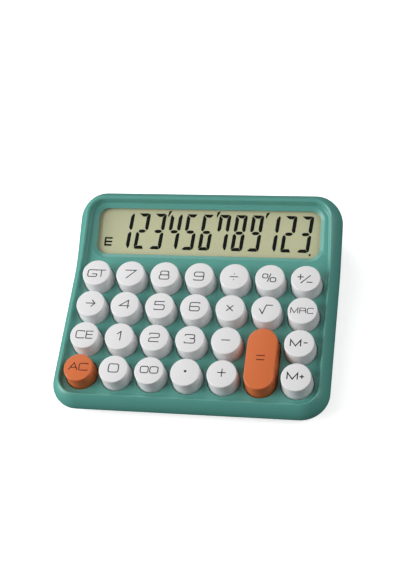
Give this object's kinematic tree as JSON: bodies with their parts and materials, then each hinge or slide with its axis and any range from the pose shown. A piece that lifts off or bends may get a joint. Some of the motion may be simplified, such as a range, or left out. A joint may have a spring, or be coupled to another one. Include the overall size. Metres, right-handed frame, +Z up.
{
  "type": "desk calculator",
  "caption": "Wedge-shaped desk calculator with round push keys, a tall equals key and a wide raised digit display.",
  "frame": {"origin": "middle of the underside, on the surface that the rubber feet stand on", "axes": "+X to the right of someone who uses it, +Y away from them towards the display, +Z up"},
  "size_m": [0.1468, 0.126, 0.034],
  "materials": {
    "green_plastic": "satin moulded ABS, fine even texture",
    "white_plastic": "satin moulded ABS",
    "orange_plastic": "satin moulded ABS",
    "clear_lens": "clear polished acrylic",
    "lcd_glass": "khaki liquid crystal panel behind a polariser",
    "grey_plastic": "plain moulded inner plastic",
    "ribbon_film": "thin flexible film",
    "silicone": "moulded silicone rubber",
    "board_laminate": "glass fibre laminate with solder mask",
    "black_epoxy": "cast epoxy",
    "battery_wrap": "plain film sleeve, no print",
    "steel": "nickel-plated steel",
    "red_wire": "PVC insulation",
    "black_wire": "PVC insulation",
    "rubber_foot": "matte rubber",
    "dark_print": "thin printed legends and display segments"
  },
  "bodies": {
    "housing": {"battery": "battery_wrap", "battery_plate": "steel", "battery_spring": "steel", "board_screw_1": "steel", "board_screw_2": "steel", "board_screw_3": "steel", "board_screw_4": "steel", "board_screw_5": "steel", "bottom_housing": "green_plastic", "circuit_board": "board_laminate", "controller_chip": "black_epoxy", "display_lens": "clear_lens", "display_ribbon": "ribbon_film", "foot_front_left": "rubber_foot", "foot_front_right": "rubber_foot", "foot_rear_left": "rubber_foot", "foot_rear_right": "rubber_foot", "holder_screw_left": "steel", "holder_screw_right": "steel", "housing_screw_1": "steel", "housing_screw_2": "steel", "housing_screw_3": "steel", "housing_screw_4": "steel", "keypad_sheet": "silicone", "lcd_holder": "grey_plastic", "lcd_panel": "lcd_glass", "lead_negative": "black_wire", "lead_positive": "red_wire", "top_housing": "green_plastic"},
    "key_0": {"key_0": "white_plastic"},
    "key_00": {"key_00": "white_plastic"},
    "key_1": {"key_1": "white_plastic"},
    "key_2": {"key_2": "white_plastic"},
    "key_3": {"key_3": "white_plastic"},
    "key_4": {"key_4": "white_plastic"},
    "key_5": {"key_5": "white_plastic"},
    "key_6": {"key_6": "white_plastic"},
    "key_7": {"key_7": "white_plastic"},
    "key_8": {"key_8": "white_plastic"},
    "key_9": {"key_9": "white_plastic"},
    "key_all_clear": {"key_all_clear": "orange_plastic"},
    "key_back": {"key_back": "white_plastic"},
    "key_clear_entry": {"key_clear_entry": "white_plastic"},
    "key_divide": {"key_divide": "white_plastic"},
    "key_equals": {"key_equals": "orange_plastic"},
    "key_grand_total": {"key_grand_total": "white_plastic"},
    "key_memory_minus": {"key_memory_minus": "white_plastic"},
    "key_memory_plus": {"key_memory_plus": "white_plastic"},
    "key_memory_recall": {"key_memory_recall": "white_plastic"},
    "key_minus": {"key_minus": "white_plastic"},
    "key_multiply": {"key_multiply": "white_plastic"},
    "key_percent": {"key_percent": "white_plastic"},
    "key_plus": {"key_plus": "white_plastic"},
    "key_point": {"key_point": "white_plastic"},
    "key_root": {"key_root": "white_plastic"},
    "key_sign": {"key_sign": "white_plastic"},
    "battery_cover": {"battery_cover": "green_plastic"}
  },
  "joints": [
    {"name": "press_0", "type": "slide", "parent": "housing", "child": "key_0", "axis": [0, -0.0698, 0.9976], "range_m": [-0.0025, 0], "stiffness_N_per_m": 250, "springref_m": 0.002, "deforming": ["keypad_sheet"]},
    {"name": "press_00", "type": "slide", "parent": "housing", "child": "key_00", "axis": [0, -0.0698, 0.9976], "range_m": [-0.0025, 0], "stiffness_N_per_m": 250, "springref_m": 0.002, "deforming": ["keypad_sheet"]},
    {"name": "press_1", "type": "slide", "parent": "housing", "child": "key_1", "axis": [0, -0.0698, 0.9976], "range_m": [-0.0025, 0], "stiffness_N_per_m": 250, "springref_m": 0.002, "deforming": ["keypad_sheet"]},
    {"name": "press_2", "type": "slide", "parent": "housing", "child": "key_2", "axis": [0, -0.0698, 0.9976], "range_m": [-0.0025, 0], "stiffness_N_per_m": 250, "springref_m": 0.002, "deforming": ["keypad_sheet"]},
    {"name": "press_3", "type": "slide", "parent": "housing", "child": "key_3", "axis": [0, -0.0698, 0.9976], "range_m": [-0.0025, 0], "stiffness_N_per_m": 250, "springref_m": 0.002, "deforming": ["keypad_sheet"]},
    {"name": "press_4", "type": "slide", "parent": "housing", "child": "key_4", "axis": [0, -0.0698, 0.9976], "range_m": [-0.0025, 0], "stiffness_N_per_m": 250, "springref_m": 0.002, "deforming": ["keypad_sheet"]},
    {"name": "press_5", "type": "slide", "parent": "housing", "child": "key_5", "axis": [0, -0.0698, 0.9976], "range_m": [-0.0025, 0], "stiffness_N_per_m": 250, "springref_m": 0.002, "deforming": ["keypad_sheet"]},
    {"name": "press_6", "type": "slide", "parent": "housing", "child": "key_6", "axis": [0, -0.0698, 0.9976], "range_m": [-0.0025, 0], "stiffness_N_per_m": 250, "springref_m": 0.002, "deforming": ["keypad_sheet"]},
    {"name": "press_7", "type": "slide", "parent": "housing", "child": "key_7", "axis": [0, -0.0698, 0.9976], "range_m": [-0.0025, 0], "stiffness_N_per_m": 250, "springref_m": 0.002, "deforming": ["keypad_sheet"]},
    {"name": "press_8", "type": "slide", "parent": "housing", "child": "key_8", "axis": [0, -0.0698, 0.9976], "range_m": [-0.0025, 0], "stiffness_N_per_m": 250, "springref_m": 0.002, "deforming": ["keypad_sheet"]},
    {"name": "press_9", "type": "slide", "parent": "housing", "child": "key_9", "axis": [0, -0.0698, 0.9976], "range_m": [-0.0025, 0], "stiffness_N_per_m": 250, "springref_m": 0.002, "deforming": ["keypad_sheet"]},
    {"name": "press_all_clear", "type": "slide", "parent": "housing", "child": "key_all_clear", "axis": [0, -0.0698, 0.9976], "range_m": [-0.0025, 0], "stiffness_N_per_m": 250, "springref_m": 0.002, "deforming": ["keypad_sheet"]},
    {"name": "press_back", "type": "slide", "parent": "housing", "child": "key_back", "axis": [0, -0.0698, 0.9976], "range_m": [-0.0025, 0], "stiffness_N_per_m": 250, "springref_m": 0.002, "deforming": ["keypad_sheet"]},
    {"name": "press_clear_entry", "type": "slide", "parent": "housing", "child": "key_clear_entry", "axis": [0, -0.0698, 0.9976], "range_m": [-0.0025, 0], "stiffness_N_per_m": 250, "springref_m": 0.002, "deforming": ["keypad_sheet"]},
    {"name": "press_divide", "type": "slide", "parent": "housing", "child": "key_divide", "axis": [0, -0.0698, 0.9976], "range_m": [-0.0025, 0], "stiffness_N_per_m": 250, "springref_m": 0.002, "deforming": ["keypad_sheet"]},
    {"name": "press_equals", "type": "slide", "parent": "housing", "child": "key_equals", "axis": [0, -0.0698, 0.9976], "range_m": [-0.0025, 0], "stiffness_N_per_m": 250, "springref_m": 0.002, "deforming": ["keypad_sheet"]},
    {"name": "press_grand_total", "type": "slide", "parent": "housing", "child": "key_grand_total", "axis": [0, -0.0698, 0.9976], "range_m": [-0.0025, 0], "stiffness_N_per_m": 250, "springref_m": 0.002, "deforming": ["keypad_sheet"]},
    {"name": "press_memory_minus", "type": "slide", "parent": "housing", "child": "key_memory_minus", "axis": [0, -0.0698, 0.9976], "range_m": [-0.0025, 0], "stiffness_N_per_m": 250, "springref_m": 0.002, "deforming": ["keypad_sheet"]},
    {"name": "press_memory_plus", "type": "slide", "parent": "housing", "child": "key_memory_plus", "axis": [0, -0.0698, 0.9976], "range_m": [-0.0025, 0], "stiffness_N_per_m": 250, "springref_m": 0.002, "deforming": ["keypad_sheet"]},
    {"name": "press_memory_recall", "type": "slide", "parent": "housing", "child": "key_memory_recall", "axis": [0, -0.0698, 0.9976], "range_m": [-0.0025, 0], "stiffness_N_per_m": 250, "springref_m": 0.002, "deforming": ["keypad_sheet"]},
    {"name": "press_minus", "type": "slide", "parent": "housing", "child": "key_minus", "axis": [0, -0.0698, 0.9976], "range_m": [-0.0025, 0], "stiffness_N_per_m": 250, "springref_m": 0.002, "deforming": ["keypad_sheet"]},
    {"name": "press_multiply", "type": "slide", "parent": "housing", "child": "key_multiply", "axis": [0, -0.0698, 0.9976], "range_m": [-0.0025, 0], "stiffness_N_per_m": 250, "springref_m": 0.002, "deforming": ["keypad_sheet"]},
    {"name": "press_percent", "type": "slide", "parent": "housing", "child": "key_percent", "axis": [0, -0.0698, 0.9976], "range_m": [-0.0025, 0], "stiffness_N_per_m": 250, "springref_m": 0.002, "deforming": ["keypad_sheet"]},
    {"name": "press_plus", "type": "slide", "parent": "housing", "child": "key_plus", "axis": [0, -0.0698, 0.9976], "range_m": [-0.0025, 0], "stiffness_N_per_m": 250, "springref_m": 0.002, "deforming": ["keypad_sheet"]},
    {"name": "press_point", "type": "slide", "parent": "housing", "child": "key_point", "axis": [0, -0.0698, 0.9976], "range_m": [-0.0025, 0], "stiffness_N_per_m": 250, "springref_m": 0.002, "deforming": ["keypad_sheet"]},
    {"name": "press_root", "type": "slide", "parent": "housing", "child": "key_root", "axis": [0, -0.0698, 0.9976], "range_m": [-0.0025, 0], "stiffness_N_per_m": 250, "springref_m": 0.002, "deforming": ["keypad_sheet"]},
    {"name": "press_sign", "type": "slide", "parent": "housing", "child": "key_sign", "axis": [0, -0.0698, 0.9976], "range_m": [-0.0025, 0], "stiffness_N_per_m": 250, "springref_m": 0.002, "deforming": ["keypad_sheet"]},
    {"name": "slide_battery_cover", "type": "slide", "parent": "housing", "child": "battery_cover", "axis": [0, 1, 0], "range_m": [0, 0.005]}
  ]
}
